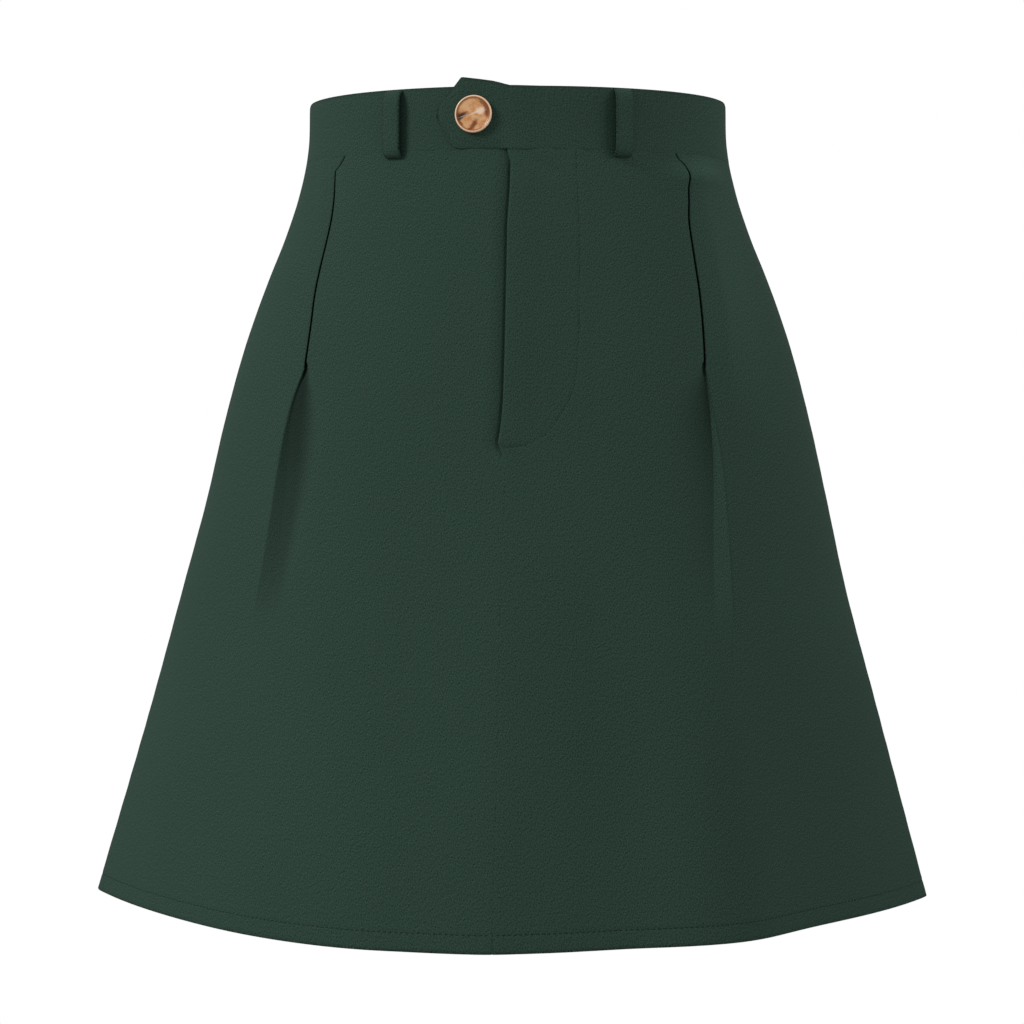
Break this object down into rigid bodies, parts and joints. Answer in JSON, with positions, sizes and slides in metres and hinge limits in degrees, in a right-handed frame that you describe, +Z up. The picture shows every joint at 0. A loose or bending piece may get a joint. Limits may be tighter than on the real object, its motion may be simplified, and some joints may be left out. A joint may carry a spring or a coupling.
{
  "type": "skort",
  "caption": "A-line skort: a skirt with a tab waistband, lapped fly, belt loops and stitched-down front pleats, over plain shorts, open at waist, hem and legs.",
  "frame": {"origin": "centre of the waist, half way up the waistband at the side seams", "axes": "+Z up through the waist opening, -Y towards the front, +X to the right as seen from the front"},
  "size_m": [0.5132, 0.3712, 0.4899],
  "materials": {
    "skirt_cloth": "matt dark green twill",
    "shorts_cloth": "matt dark green plain weave",
    "zip_tape": "woven tape, dark green",
    "horn": "polished mottled tan horn look"
  },
  "bodies": {
    "root": {"front_left": "skirt_cloth", "front_right": "skirt_cloth", "back": "skirt_cloth", "waistband_left": "skirt_cloth", "waistband_right": "skirt_cloth", "fly_shield": "skirt_cloth", "loop_front_left": "skirt_cloth", "loop_front_right": "skirt_cloth", "loop_back_left": "skirt_cloth", "loop_back_right": "skirt_cloth", "zip": "zip_tape", "button": "horn", "short_front_left": "shorts_cloth", "short_front_right": "shorts_cloth", "short_back_left": "shorts_cloth", "short_back_right": "shorts_cloth"}
  },
  "joints": []
}
